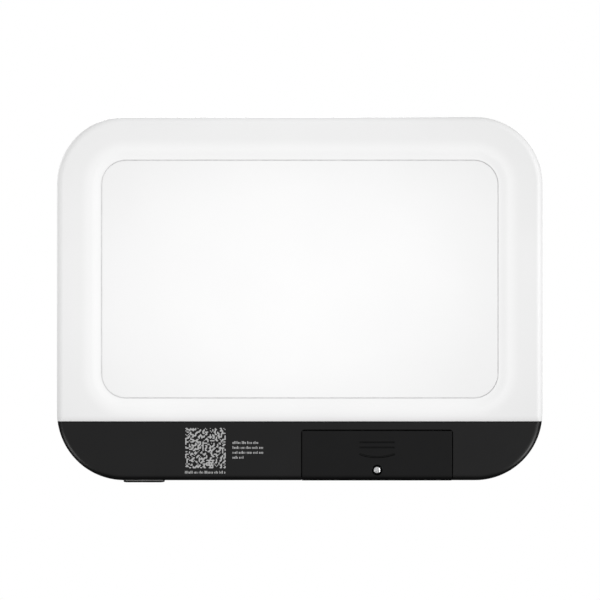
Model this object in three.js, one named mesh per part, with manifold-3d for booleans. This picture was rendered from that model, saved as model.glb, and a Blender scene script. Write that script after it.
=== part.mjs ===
// A battery-powered LED light table (tracing pad) that lies flat on its back, with its lit face up.
// Units are millimetres. +Z points out of the lit face, the back lies on z = 0, and the black control
// strip, called the chin here, runs along the -Y edge. A white casing closed by an inset back panel
// holds the light engine. The chin holds the battery bay, its sliding door, and the switch board.
import * as THREE from 'three';
import Module from 'manifold-3d';
import { mergeVertices } from 'three/addons/utils/BufferGeometryUtils.js';

const wasm = await Module();
wasm.setup();

// ---- Driving dimensions ------------------------------------------------------------------------
const GAP = 0.3; // clearance between pieces that touch on the real object
const WIDTH = 324; // casing along X
const DEPTH = 242.4; // casing along Y
const HEIGHT = 20; // casing along Z
const CORNER = 45; // radius of the four casing corners
const WALL = 2;
const BACK_FILLET = 5;
const FRONT_FILLET = 3;
const PARTING_Z = 11; // where the rear shells meet the front shells
const SEAM_Y = -81.55; // where the white casing meets the black chin
const EDGE_Y = -DEPTH / 2; // the chin's outer edge

const PANEL = { w: 263.2, h: 157.6, r: 16, y: 13, z0: 0.9, z1: 1.9 };
const PANEL_LINE = 0.6; // shadow gap round the back panel
const LIP = { width: 5.5, depth: 0.9 }; // the rolled edge of the casing round the back panel

const WINDOW = { w: 304, h: 187, r: 36, y: 17.5 }; // the opening for the lit face
const FACE = { flange: 2.7, flangeZ0: 16.7, flangeZ1: 17.7, drop: 0.2 }; // the diffuser behind that opening
const GUIDE = { z0: 13.2, z1: 16.4 };
const REFLECTOR = { z0: 12.5, z1: 12.9 };
const LED_COUNT = 12;
const LED_PITCH = 20;
const LED_BOARD = { halfW: 122, y: SEAM_Y + 0.9, t: 0.9, z0: 12.8, z1: 17.4 };
const LED = { w: 3.5, y: LED_BOARD.y + LED_BOARD.t + GAP, l: 1.7, z0: 13.3, z1: 16.3 };
const GUIDE_EDGE_Y = LED.y + LED.l + 1.4; // the guide's edge that the LEDs shine into

const DOOR = { x: -51.4, w: 99.6, y1: -87.7, plate: 1.8, lipZ: 7, proud: 0.2 };
const DOOR_X0 = DOOR.x - DOOR.w / 2;
const DOOR_X1 = DOOR.x + DOOR.w / 2;
const LEDGE = { w: 2.25, z0: 2.1, z1: 3.3 }; // the two rails that the door's hooks run on
const HOOK = { w: 1.8, web: 1.2, z0: 3.6, z1: 4.4, y0: EDGE_Y + 4, y1: -101 };
// The finger mark on the door: two straight grooves and a bowed one.
const MARK = { halfW: 11.4, w: 1.4, depth: 0.5, lines: [-96.2, -99.6], arrowY: -103.9, bow: 5.4 };
const SCREW = { x: -51.4, y: -113.9, headR: 2.5, headZ0: 0.35, headZ1: 2.1, shankR: 1.3, tipZ: 6.9 };
const SCREW_RECESS_R = 3.4;
const BOSS = { r: 4.2, z0: 1, z1: 4.3 }; // the thick ring of the door round its screw
const TAPPED_R = 1.3; // bores that self-tapping screws cut their thread in

const CELL = { r: 5.15, l: 43.5, nubR: 1.9, nubL: 1, z: 7.6 };
const CELL_ROWS = [-94.6, -105.2];
const HOLDER = { x0: -101, x1: -3.6, y0: -112.2, y1: -87.7, z0: 5, floorZ: 13.2, z1: 14.7, wall: 1.5 };
const POST = { r: 3.2, z0: 4.6 }; // takes the door's screw
const TAB = { x: 28, w: 12, reach: 1.7, z0: 1.2, z1: 2.1 }; // the two tabs on the door's inner edge

const BUTTON = { x: 104.4, z: 10, w: 27.6, h: 6, proud: 1.8, flange: 1.5, flangeT: 1, stemR: 1.5 };
const BOARD = { x0: 22, x1: 128, y0: -113.3, y1: -88, z0: 5.4, z1: 7 };
const BOARD_SCREWS = [[28, -106], [122, -94]];
const HOLDER_SCREWS = [[-90, -105.5], [-64, -105.5]];

// ---- Materials ---------------------------------------------------------------------------------
function material(color, roughness, metalness = 0) {
  return new THREE.MeshStandardMaterial({ color, roughness, metalness });
}

const WHITE = material(0xf1f2f1, 0.35);
const PANEL_WHITE = material(0xf7f8f7, 0.4);
const BLACK = material(0x1d1d1e, 0.55);
const DIFFUSER = material(0xfafcff, 0.3);
const ACRYLIC = material(0xe4f1f4, 0.08);
const FILM = material(0xffffff, 0.6);
const STEEL = material(0xc9ccce, 0.25, 1);
const SPRING_STEEL = material(0xb9bcc0, 0.3, 1);
const BOARD_GREEN = material(0x1f6b3a, 0.5);
const CHIP = material(0x151517, 0.45);
const PHOSPHOR = material(0xf3dd6a, 0.4);
const CELL_SLEEVE = material(0x8b9aa6, 0.35);
const COPPER_COIL = material(0x6e4a34, 0.5);
const RED_WIRE = material(0xb3261e, 0.5);
const BLACK_WIRE = material(0x161616, 0.5);
const WHITE_WIRE = material(0xdadada, 0.5);

// ---- Solids ------------------------------------------------------------------------------------
function toSolid(geometry) {
  const bare = geometry.clone();
  bare.deleteAttribute('normal');
  bare.deleteAttribute('uv');
  const merged = mergeVertices(bare, 1e-5);
  const vertProperties = new Float32Array(merged.attributes.position.array);
  const triVerts = new Uint32Array(merged.index.array);
  return new wasm.Manifold(new wasm.Mesh({ numProp: 3, vertProperties, triVerts }));
}

function toGeometry(solid) {
  const mesh = solid.getMesh();
  const geometry = new THREE.BufferGeometry();
  geometry.setAttribute('position', new THREE.BufferAttribute(new Float32Array(mesh.vertProperties), 3));
  geometry.setIndex(new THREE.BufferAttribute(new Uint32Array(mesh.triVerts), 1));
  geometry.computeVertexNormals();
  return geometry;
}

function box(x0, x1, y0, y1, z0, z1) {
  const geometry = new THREE.BoxGeometry(x1 - x0, y1 - y0, z1 - z0);
  geometry.translate((x0 + x1) / 2, (y0 + y1) / 2, (z0 + z1) / 2);
  return toSolid(geometry);
}

// An upright cylinder, or one that lies along Y when axis says so.
function rod(x, y, z, radius, length, axis = 'z', segments = 24) {
  const geometry = new THREE.CylinderGeometry(radius, radius, length, segments);
  if (axis === 'z') geometry.rotateX(Math.PI / 2);
  geometry.translate(x, y, z);
  return toSolid(geometry);
}

function post(x, y, radius, z0, z1, segments = 24) {
  return rod(x, y, (z0 + z1) / 2, radius, z1 - z0, 'z', segments);
}

// A flat shape in X and Y, raised from z0 to z1.
function slab(shape, z0, z1, curveSegments = 12) {
  const geometry = new THREE.ExtrudeGeometry(shape, { depth: z1 - z0, bevelEnabled: false, curveSegments });
  geometry.translate(0, 0, z0);
  return toSolid(geometry);
}

// The corner points of a rounded rectangle, anticlockwise, as three.js vectors.
function roundedOutline(w, h, r, y = 0, steps = 12) {
  const points = [];
  const corners = [[1, 1, 0], [-1, 1, 1], [-1, -1, 2], [1, -1, 3]];
  for (const [sx, sy, quarter] of corners) {
    for (let i = 0; i <= steps; i += 1) {
      const angle = (quarter + i / steps) * (Math.PI / 2);
      const cx = sx * (w / 2 - r);
      const cy = y + sy * (h / 2 - r);
      points.push(new THREE.Vector2(cx + r * Math.cos(angle), cy + r * Math.sin(angle)));
    }
  }
  return points;
}

// A closed solid through a stack of outlines with equal point counts, capped at both ends.
function loft(layers) {
  const count = layers[0].outline.length;
  const positions = [];
  for (const { outline, z } of layers) {
    for (const point of outline) positions.push(point.x, point.y, z);
  }
  const index = [];
  for (let layer = 0; layer + 1 < layers.length; layer += 1) {
    for (let i = 0; i < count; i += 1) {
      const a = layer * count + i;
      const b = layer * count + ((i + 1) % count);
      index.push(a, b, b + count, a, b + count, a + count);
    }
  }
  const top = (layers.length - 1) * count;
  for (let i = 1; i + 1 < count; i += 1) {
    index.push(0, i + 1, i);
    index.push(top, top + i, top + i + 1);
  }
  const geometry = new THREE.BufferGeometry();
  geometry.setAttribute('position', new THREE.Float32BufferAttribute(positions, 3));
  geometry.setIndex(index);
  return toSolid(geometry);
}

// A rounded-rectangle block, upright sides.
function tablet({ w, h, r, y }, grow, z0, z1, steps = 8) {
  const outline = roundedOutline(w + 2 * grow, h + 2 * grow, r + grow, y, steps);
  return loft([{ outline, z: z0 }, { outline, z: z1 }]);
}

// The casing's outline drawn in by an inset; a negative inset grows it.
function casingLayer(inset, z) {
  return { outline: roundedOutline(WIDTH - 2 * inset, DEPTH - 2 * inset, CORNER - inset), z };
}

// The whole casing as one block with its back and front edges rounded, drawn in by an inset.
function casingBlock(inset, z0 = inset, z1 = HEIGHT - inset) {
  const layers = [];
  const steps = 4;
  const back = BACK_FILLET - inset;
  const front = FRONT_FILLET - inset;
  for (let i = 0; i <= steps; i += 1) {
    const angle = (i / steps) * (Math.PI / 2);
    layers.push(casingLayer(inset + back * (1 - Math.sin(angle)), z0 + back * (1 - Math.cos(angle))));
  }
  for (let i = 0; i <= steps; i += 1) {
    const angle = (i / steps) * (Math.PI / 2);
    layers.push(casingLayer(inset + front * (1 - Math.cos(angle)), z1 - front * (1 - Math.sin(angle))));
  }
  return loft(layers);
}

function casingRing(outerInset, innerInset, z0, z1) {
  const outer = loft([casingLayer(outerInset, z0), casingLayer(outerInset, z1)]);
  const inner = loft([casingLayer(innerInset, z0 - 1), casingLayer(innerInset, z1 + 1)]);
  return outer.subtract(inner);
}

const EVERYWHERE = 400; // further than any part of the table
const OVERLAP = 0.5; // how far solids that are joined run into each other

function half({ y0 = -EVERYWHERE, y1 = EVERYWHERE, z0 = -EVERYWHERE, z1 = EVERYWHERE }) {
  return box(-EVERYWHERE, EVERYWHERE, y0, y1, z0, z1);
}

const SHELL = casingBlock(0).subtract(casingBlock(WALL));
const REAR = half({ z1: PARTING_Z - GAP / 2 });
const FRONT = half({ z0: PARTING_Z + GAP / 2 });
const CASING_SIDE = half({ y0: SEAM_Y });
const CHIN_SIDE = half({ y1: SEAM_Y - GAP });

// The lip that hangs from each front shell and laps the inside of the rear shell's wall.
function partingLip() {
  const inner = WALL + 1.5;
  const drop = 2.5;
  const rootZ1 = PARTING_Z + 3;
  const hanging = casingRing(WALL + GAP, inner, PARTING_Z - drop, rootZ1);
  return hanging.add(casingRing(WALL - OVERLAP, inner, PARTING_Z + GAP / 2, rootZ1));
}

// ---- White casing ------------------------------------------------------------------------------
// The recess for the back panel: a rolled edge that falls from the back, then an upright wall.
function panelRecess(floorZ) {
  const steps = 4;
  const outline = (grow) => roundedOutline(PANEL.w + 2 * grow, PANEL.h + 2 * grow, PANEL.r + grow, PANEL.y, 8);
  const rim = PANEL_LINE + LIP.width;
  const layers = [{ outline: outline(rim + 1), z: -1 }, { outline: outline(rim), z: 0 }];
  for (let i = 1; i <= steps; i += 1) {
    const angle = (i / steps) * (Math.PI / 2);
    const grow = PANEL_LINE + LIP.width * (1 - Math.sin(angle));
    layers.push({ outline: outline(grow), z: LIP.depth * (1 - Math.cos(angle)) });
  }
  layers.push({ outline: outline(PANEL_LINE), z: floorZ });
  return loft(layers);
}

function rearHousing() {
  const floorZ = PANEL.z1 + GAP;
  const rib = { halfT: 0.8, z1: 12.2, halfW: 148, y0: -68, y1: 108 };
  let solid = SHELL.intersect(REAR).intersect(CASING_SIDE);
  solid = solid.add(tablet(PANEL, PANEL_LINE + LIP.width + WALL, WALL - OVERLAP, floorZ + WALL));
  for (const x of [-90, 0, 90]) {
    solid = solid.add(box(x - rib.halfT, x + rib.halfT, rib.y0, rib.y1, WALL, rib.z1));
  }
  for (const y of [-40, 12, 64]) {
    solid = solid.add(box(-rib.halfW, rib.halfW, y - rib.halfT, y + rib.halfT, WALL, rib.z1));
  }
  return solid.subtract(panelRecess(floorZ));
}

function backPanel() {
  return tablet(PANEL, 0, PANEL.z0, PANEL.z1);
}

function frontFrame() {
  // A tongue laps the inside of the chin's front cover.
  const tongue = { halfW: 140, y0: SEAM_Y - 4, y1: SEAM_Y + 0.6, z0: 16.2, z1: 17.7, rootZ1: 18.5 };
  let solid = SHELL.intersect(FRONT);
  solid = solid.add(partingLip()).intersect(CASING_SIDE);
  solid = solid.add(box(-tongue.halfW, tongue.halfW, tongue.y0, tongue.y1, tongue.z0, tongue.z1));
  solid = solid.add(box(-tongue.halfW, tongue.halfW, SEAM_Y, tongue.y1, tongue.z0, tongue.rootZ1));
  return solid.subtract(tablet(WINDOW, 0, HEIGHT - FRONT_FILLET - WALL, HEIGHT + 1, 10));
}

// ---- Light engine ------------------------------------------------------------------------------
function diffuserPanel() {
  const flange = tablet(WINDOW, FACE.flange, FACE.flangeZ0, FACE.flangeZ1, 10);
  return flange.add(tablet(WINDOW, -GAP, FACE.flangeZ0 + GAP, HEIGHT - FACE.drop, 10));
}

function lightGuidePlate() {
  return tablet(WINDOW, 0.5, GUIDE.z0, GUIDE.z1, 10).subtract(half({ y1: GUIDE_EDGE_Y }));
}

function reflectorSheet() {
  return tablet(WINDOW, 0.5, REFLECTOR.z0, REFLECTOR.z1, 10).subtract(half({ y1: GUIDE_EDGE_Y }));
}

function ledBoard() {
  const { halfW, y, t, z0, z1 } = LED_BOARD;
  return box(-halfW, halfW, y, y + t, z0, z1);
}

function led(number) {
  const x = (number - (LED_COUNT - 1) / 2) * LED_PITCH;
  return box(x - LED.w / 2, x + LED.w / 2, LED.y, LED.y + LED.l, LED.z0, LED.z1);
}

// ---- Chin --------------------------------------------------------------------------------------
function pill(w, h, y0, y1) {
  const r = h / 2;
  const shape = new THREE.Shape();
  shape.absarc(w / 2 - r, 0, r, -Math.PI / 2, Math.PI / 2, false);
  shape.absarc(-w / 2 + r, 0, r, Math.PI / 2, Math.PI * 1.5, false);
  const geometry = new THREE.ExtrudeGeometry(shape, { depth: y1 - y0, bevelEnabled: false, curveSegments: 10 });
  geometry.rotateX(Math.PI / 2);
  geometry.translate(BUTTON.x, y1, BUTTON.z);
  return toSolid(geometry);
}

// The hole in the chin's edge for the button, and the room its flange needs behind the wall.
function buttonOpening() {
  const depth = 3;
  const halfW = BUTTON.w / 2 + BUTTON.flange + 1.7;
  const halfH = BUTTON.h / 2 + BUTTON.flange + 0.9;
  const y0 = EDGE_Y + WALL;
  const hole = pill(BUTTON.w + 2 * GAP, BUTTON.h + 2 * GAP, EDGE_Y - 1, y0 + depth);
  return hole.add(box(BUTTON.x - halfW, BUTTON.x + halfW, y0, y0 + depth, BUTTON.z - halfH, BUTTON.z + halfH));
}

function doorOpening() {
  const x0 = DOOR_X0 - GAP;
  const x1 = DOOR_X1 + GAP;
  const face = box(x0, x1, EDGE_Y - 1, DOOR.y1 + GAP, -1, LEDGE.z0);
  const edge = box(x0, x1, EDGE_Y - 1, EDGE_Y + WALL + 0.1, -1, DOOR.lipZ + GAP);
  return face.add(edge);
}

// The shell's thick inner corner is cleared away behind the door, so that the door can bend round it.
function doorCornerRoom() {
  return box(DOOR_X0 - GAP, DOOR_X1 + GAP, EDGE_Y, EDGE_Y + BACK_FILLET + 0.1, 1, BACK_FILLET + 0.1);
}

function doorLedges() {
  const y0 = EDGE_Y + WALL + 0.4;
  const left = box(DOOR_X0 - 2, DOOR_X0 + LEDGE.w, y0, DOOR.y1, 1, LEDGE.z1);
  const right = box(DOOR_X1 - LEDGE.w, DOOR_X1 + 2, y0, DOOR.y1, 1, LEDGE.z1);
  return left.add(right);
}

function chinRearCover() {
  let solid = SHELL.intersect(REAR).intersect(CHIN_SIDE);
  solid = solid.subtract(doorCornerRoom()).add(doorLedges()).subtract(doorOpening()).subtract(buttonOpening());
  for (const side of [-1, 1]) solid = solid.subtract(doorTab(side, GAP));
  // A tongue laps the inside of the white rear housing.
  const seam = SEAM_Y - GAP;
  const tongue = { halfW: 146, reach: 3.5, z1: 3.8 };
  solid = solid.add(box(-tongue.halfW, tongue.halfW, seam - tongue.reach, seam, 1, tongue.z1));
  solid = solid.add(box(-tongue.halfW, tongue.halfW, seam - 1, seam + tongue.reach, WALL + GAP, tongue.z1));
  for (const [x, y] of BOARD_SCREWS) {
    solid = solid.add(post(x, y, 3, 1, BOARD.z0 - GAP));
    solid = solid.subtract(post(x, y, TAPPED_R, WALL + 0.2, BOARD.z0 + 1, 16));
  }
  return solid;
}

function chinFrontCover() {
  let solid = SHELL.intersect(FRONT).add(partingLip()).intersect(CHIN_SIDE);
  for (const [x, y] of HOLDER_SCREWS) {
    solid = solid.add(post(x, y, 3.2, HOLDER.z1 + GAP, HEIGHT - 1));
    solid = solid.subtract(post(x, y, TAPPED_R, HOLDER.z1, HEIGHT - 1.5, 16));
  }
  return solid.subtract(buttonOpening());
}

// ---- Battery bay -------------------------------------------------------------------------------
const PLUS_WALL_X = -56.2; // the wall inside the bay that carries the plus contact of the lone cell
const PLATE = { t: 0.4, halfW: 4 }; // the sprung contacts are folded from this sheet
const TAIL = { w: 2, z0: 12, z1: 15.8 }; // solder tails that stand up through the bay's floor
const COIL = { turns: 3, wireR: 0.35, wideR: 2.7, taper: 0.9, l: 2.6 };

function tailSlot(x, y) {
  return box(x - 0.5, x + 0.5, y - TAIL.w / 2 - GAP, y + TAIL.w / 2 + GAP, HOLDER.floorZ - 1, HOLDER.z1 + 1);
}

function batteryHolder() {
  const { x0, x1, y0, y1, z0, floorZ, z1, wall } = HOLDER;
  const pocket = box(x0 + wall, x1 - wall, y0 + wall, y1 - wall, z0 - 1, floorZ);
  let solid = box(x0, x1, y0, y1, z0, z1).subtract(pocket);
  const wallZ1 = floorZ + OVERLAP;
  const row = CELL_ROWS[1];
  solid = solid.add(box(PLUS_WALL_X, PLUS_WALL_X + wall, y0 + OVERLAP, row + CELL.r, z0, wallZ1));
  solid = solid.add(box(x0 + 1, PLUS_WALL_X + 1, row + CELL.r - 1.2, row + CELL.r - 0.15, z0, wallZ1));
  solid = solid.add(post(SCREW.x, SCREW.y, POST.r, POST.z0, z1));
  // The post is slotted on the side of the chin's edge.
  const boreR = SCREW.shankR + GAP;
  const bore = [POST.z0 - 1, SCREW.tipZ + 0.6];
  solid = solid.subtract(post(SCREW.x, SCREW.y, boreR, ...bore));
  solid = solid.subtract(box(SCREW.x - boreR, SCREW.x + boreR, SCREW.y - 2 * POST.r, SCREW.y, ...bore));
  for (const [x, y] of HOLDER_SCREWS) {
    solid = solid.subtract(post(x, y, TAPPED_R, floorZ - 1, z1 + 1, 16));
  }
  solid = solid.subtract(tailSlot(x0 + wall + 0.5, CELL_ROWS[0]));
  return solid.subtract(tailSlot(PLUS_WALL_X + wall + 0.5, CELL_ROWS[1]));
}

// A cell with its plus nub towards +X, from its flat end at x.
function batteryCell(x, y) {
  const profile = [
    [0, 0], [CELL.r - 0.5, 0], [CELL.r, 0.5], [CELL.r, CELL.l - 0.5], [CELL.r - 0.5, CELL.l],
    [CELL.nubR, CELL.l], [CELL.nubR, CELL.l + CELL.nubL], [0, CELL.l + CELL.nubL],
  ].map(([r, l]) => new THREE.Vector2(r, l));
  const geometry = new THREE.LatheGeometry(profile, 24);
  geometry.rotateZ(-Math.PI / 2);
  geometry.translate(x, y, CELL.z);
  return toSolid(geometry);
}

// The lone cell lies the other way round, with its plus nub towards -X.
function reversedCell(x, y) {
  return batteryCell(0, 0).rotate([0, 0, 180]).translate([x, y, 0]);
}

// A wire of round section along a curve.
function wire(curve, radius, steps, sides = 8) {
  const shape = new THREE.Shape();
  shape.absarc(0, 0, radius, 0, Math.PI * 2, false);
  const options = { extrudePath: curve, steps, bevelEnabled: false, curveSegments: sides };
  return toSolid(new THREE.ExtrudeGeometry(shape, options));
}

// A conical spring that lies along X, wide end at x0.
class SpringCurve extends THREE.Curve {
  constructor(x0, x1, y) {
    super();
    Object.assign(this, { x0, x1, y });
  }

  getPoint(t, target = new THREE.Vector3()) {
    const angle = t * COIL.turns * Math.PI * 2;
    const radius = COIL.wideR - COIL.taper * t;
    const x = this.x0 + (this.x1 - this.x0) * t;
    return target.set(x, this.y + radius * Math.cos(angle), CELL.z + radius * Math.sin(angle));
  }
}

function contactPlate(x, y0, y1) {
  return box(x, x + PLATE.t, y0, y1, HOLDER.z0 + GAP, HOLDER.floorZ - GAP);
}

function solderTail(x, y) {
  return box(x, x + PLATE.t, y - TAIL.w / 2, y + TAIL.w / 2, TAIL.z0, TAIL.z1);
}

function spring(x0, x1, y) {
  return wire(new SpringCurve(x0, x1, y), COIL.wireR, 12 * COIL.turns, 6);
}

function contactNegative() {
  const x = HOLDER.x0 + HOLDER.wall + GAP;
  const y = CELL_ROWS[0];
  const plate = contactPlate(x, y - PLATE.halfW, y + PLATE.halfW);
  return plate.add(solderTail(x, y)).add(spring(x + PLATE.t, x + PLATE.t + COIL.l, y));
}

// The bridge joins the two rows of cells at the bay's +X end.
function contactBridge() {
  const x = HOLDER.x1 - HOLDER.wall - GAP - PLATE.t;
  const plate = contactPlate(x, CELL_ROWS[1] - PLATE.halfW, CELL_ROWS[0] + PLATE.halfW);
  return plate.add(spring(x, x - COIL.l - 0.2, CELL_ROWS[1]));
}

function contactPositive() {
  const x = PLUS_WALL_X + HOLDER.wall + GAP;
  const y = CELL_ROWS[1];
  const halfW = PLATE.halfW - 0.6;
  return contactPlate(x, y - halfW, y + halfW).add(solderTail(x, y));
}

// A small pan-head screw, its head below and its shank up.
function panScrew(x, y, head, shank) {
  return post(x, y, 2.2, ...head).add(post(x, y, 1, ...shank, 16));
}

function holderScrew(x, y) {
  return panScrew(x, y, [HOLDER.floorZ - 1.7, HOLDER.floorZ - GAP], [HOLDER.floorZ - 1.2, HEIGHT - 2.2]);
}

// ---- Battery door ------------------------------------------------------------------------------
function groove(y) {
  return box(DOOR.x - MARK.halfW, DOOR.x + MARK.halfW, y - MARK.w / 2, y + MARK.w / 2, -1, MARK.depth);
}

// A shallow arrowhead in an arc, pointing to the edge that the door slides towards.
function arrowGroove() {
  const y = MARK.arrowY;
  const x0 = DOOR.x - MARK.halfW;
  const x1 = DOOR.x + MARK.halfW;
  const shape = new THREE.Shape();
  shape.moveTo(x0, y + MARK.w);
  shape.quadraticCurveTo(DOOR.x, y + MARK.w - MARK.bow, x1, y + MARK.w);
  shape.lineTo(x1, y);
  shape.quadraticCurveTo(DOOR.x, y - MARK.bow - 0.8, x0, y);
  shape.closePath();
  return slab(shape, -1, MARK.depth, 10);
}

function doorHook(side) {
  const edge = DOOR.x + side * (DOOR.w / 2 - LEDGE.w - GAP);
  const web = [edge, edge - side * HOOK.web].sort((a, b) => a - b);
  const hook = [edge - side * HOOK.web, edge + side * HOOK.w].sort((a, b) => a - b);
  const stem = box(web[0], web[1], HOOK.y0, HOOK.y1, 1, HOOK.z1);
  return stem.add(box(hook[0], hook[1], HOOK.y0, HOOK.y1, HOOK.z0, HOOK.z1));
}

function doorTab(side, clearance) {
  const x = DOOR.x + side * TAB.x;
  const halfWidth = TAB.w / 2 + clearance;
  const y1 = DOOR.y1 + TAB.reach + clearance;
  return box(x - halfWidth, x + halfWidth, DOOR.y1 - 2, y1, TAB.z0 - clearance, TAB.z1 + clearance);
}

function batteryDoor() {
  const skin = casingBlock(-DOOR.proud, -DOOR.proud, HEIGHT).intersect(half({ z0: 0 }));
  const plate = box(DOOR_X0, DOOR_X1, EDGE_Y - 1, DOOR.y1, 0, DOOR.plate);
  const edge = box(DOOR_X0, DOOR_X1, EDGE_Y - 1, EDGE_Y + WALL - 0.1, 0, DOOR.lipZ);
  // The bend is thickened inside, short of the two rails.
  const inset = LEDGE.w + GAP;
  const bendY = EDGE_Y + WALL - 0.2;
  let solid = skin.intersect(plate.add(edge));
  solid = solid.add(box(DOOR_X0 + inset, DOOR_X1 - inset, bendY, bendY + 2.2, 1, 2.6));
  for (const side of [-1, 1]) {
    solid = solid.add(doorHook(side)).add(doorTab(side, 0));
  }
  solid = solid.add(post(SCREW.x, SCREW.y, BOSS.r, BOSS.z0, BOSS.z1));
  solid = solid.subtract(post(SCREW.x, SCREW.y, SCREW_RECESS_R, -1, SCREW.headZ1 + GAP));
  solid = solid.subtract(post(SCREW.x, SCREW.y, SCREW.shankR + GAP, 0, BOSS.z1 + 1));
  for (const y of MARK.lines) solid = solid.subtract(groove(y));
  return solid.subtract(arrowGroove());
}

// The door's pan-head screw with a cross recess; its head faces -Z.
function doorScrew() {
  const { x, y, headR, headZ0, headZ1, shankR, tipZ } = SCREW;
  const profile = [[0, headZ0], [headR * 0.6, headZ0], [headR * 0.88, headZ0 + 0.25], [headR, headZ0 + 0.7],
    [headR, headZ1], [shankR, headZ1], [shankR, tipZ - 1], [0.4, tipZ], [0, tipZ]]
    .map(([r, z]) => new THREE.Vector2(r, z));
  const geometry = new THREE.LatheGeometry(profile, 24);
  geometry.rotateX(Math.PI / 2);
  geometry.translate(x, y, 0);
  let solid = toSolid(geometry);
  const slot = { l: 1.5, w: 0.3, z1: headZ0 + 0.9 };
  solid = solid.subtract(box(x - slot.l, x + slot.l, y - slot.w, y + slot.w, headZ0 - 1, slot.z1));
  return solid.subtract(box(x - slot.w, x + slot.w, y - slot.l, y + slot.l, headZ0 - 1, slot.z1));
}

// ---- Switch board ------------------------------------------------------------------------------
function mainBoard() {
  let solid = box(BOARD.x0, BOARD.x1, BOARD.y0, BOARD.y1, BOARD.z0, BOARD.z1);
  for (const [x, y] of BOARD_SCREWS) {
    solid = solid.subtract(post(x, y, TAPPED_R, BOARD.z0 - 1, BOARD.z1 + 1, 16));
  }
  return solid;
}

function boardScrew(x, y) {
  return panScrew(x, y, [BOARD.z1 + GAP, BOARD.z1 + 1.8], [WALL + 0.6, BOARD.z1 + 1]);
}

const SWITCH = { w: 6, y0: -113, y1: -107, z1: 12.7, plungerR: 1.5, tipY: -115, sunk: 2 };
const ON_BOARD = BOARD.z1 + GAP; // where the pieces that stand on the board begin

function tactSwitchBody() {
  const { w, y0, y1, z1, plungerR, sunk } = SWITCH;
  const shell = box(BUTTON.x - w / 2, BUTTON.x + w / 2, y0, y1, ON_BOARD, z1);
  return shell.subtract(rod(BUTTON.x, y0, BUTTON.z, plungerR + GAP, 2 * (sunk + 1.5), 'y'));
}

function tactSwitchPlunger() {
  const length = SWITCH.y0 + SWITCH.sunk - SWITCH.tipY;
  return rod(BUTTON.x, SWITCH.tipY + length / 2, BUTTON.z, SWITCH.plungerR, length, 'y');
}

function powerButton() {
  const { x, z, w, h, proud, flange, flangeT, stemR } = BUTTON;
  const inside = EDGE_Y + WALL + GAP;
  const cap = pill(w, h, EDGE_Y - proud, inside + 0.2);
  const stop = pill(w + 2 * flange, h + 2 * flange, inside, inside + flangeT);
  const length = SWITCH.tipY - GAP - inside;
  return cap.add(stop).add(rod(x, inside + length / 2, z, stemR, length, 'y'));
}

function driverChip() {
  return box(56, 64, -103, -97, ON_BOARD, 9);
}

function inductor() {
  return post(44, -101, 4.2, ON_BOARD, 11.5);
}

function capacitor() {
  return post(78, -98, 3.15, ON_BOARD, 14);
}

function lead(points) {
  const curve = new THREE.CatmullRomCurve3(points.map(([x, y, z]) => new THREE.Vector3(x, y, z)));
  return wire(curve, 0.6, 18, 8);
}

const WIRE_Z = 16.9; // leads run between the bay and the chin's front wall
const PAD_Z = BOARD.z1 + 1;

function batteryLeadRed() {
  const x = PLUS_WALL_X + HOLDER.wall + GAP;
  return lead([[x, CELL_ROWS[1], WIRE_Z], [-30, -101, WIRE_Z], [3, -99, 15], [15, -97, 9], [27, -97, PAD_Z]]);
}

function batteryLeadBlack() {
  const x = HOLDER.x0 + HOLDER.wall + GAP;
  return lead([[x, CELL_ROWS[0], WIRE_Z], [-50, -92, WIRE_Z], [3, -91, 15], [15, -92, 9], [27, -92, PAD_Z]]);
}

function ledLead() {
  return lead([[60, -90, PAD_Z], [60, -86, 9], [60, -83.4, 12], [60, SEAM_Y - GAP, 15.2]]);
}

// ---- Assembly ----------------------------------------------------------------------------------
const table = new THREE.Group();
const assembly = new THREE.Group();
table.add(assembly);
// The button stands proud of the chin's edge, so the casing sits that much off centre.
assembly.position.y = BUTTON.proud / 2;

function piece(name, look, solid) {
  const mesh = new THREE.Mesh(toGeometry(solid), look);
  mesh.name = name;
  assembly.add(mesh);
}

piece('rear_housing', WHITE, rearHousing());
piece('back_panel', PANEL_WHITE, backPanel());
piece('front_frame', WHITE, frontFrame());
piece('diffuser_panel', DIFFUSER, diffuserPanel());
piece('light_guide_plate', ACRYLIC, lightGuidePlate());
piece('reflector_sheet', FILM, reflectorSheet());
piece('led_board', FILM, ledBoard());
for (let i = 0; i < LED_COUNT; i += 1) {
  piece(`led_${String(i + 1).padStart(2, '0')}`, PHOSPHOR, led(i));
}
piece('chin_rear_cover', BLACK, chinRearCover());
piece('chin_front_cover', BLACK, chinFrontCover());
piece('battery_door', BLACK, batteryDoor());
piece('door_screw', STEEL, doorScrew());
piece('battery_holder', BLACK, batteryHolder());
piece('battery_cell_1', CELL_SLEEVE, batteryCell(-95.6, CELL_ROWS[0]));
piece('battery_cell_2', CELL_SLEEVE, batteryCell(-50.8, CELL_ROWS[0]));
piece('battery_cell_3', CELL_SLEEVE, reversedCell(-9.3, CELL_ROWS[1]));
piece('contact_negative', SPRING_STEEL, contactNegative());
piece('contact_bridge', SPRING_STEEL, contactBridge());
piece('contact_positive', SPRING_STEEL, contactPositive());
HOLDER_SCREWS.forEach(([x, y], i) => piece(`holder_screw_${i + 1}`, STEEL, holderScrew(x, y)));
piece('main_board', BOARD_GREEN, mainBoard());
BOARD_SCREWS.forEach(([x, y], i) => piece(`board_screw_${i + 1}`, STEEL, boardScrew(x, y)));
piece('tact_switch_body', CHIP, tactSwitchBody());
piece('tact_switch_plunger', FILM, tactSwitchPlunger());
piece('power_button', BLACK, powerButton());
piece('driver_chip', CHIP, driverChip());
piece('inductor', COPPER_COIL, inductor());
piece('capacitor', STEEL, capacitor());
piece('battery_lead_red', RED_WIRE, batteryLeadRed());
piece('battery_lead_black', BLACK_WIRE, batteryLeadBlack());
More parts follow.
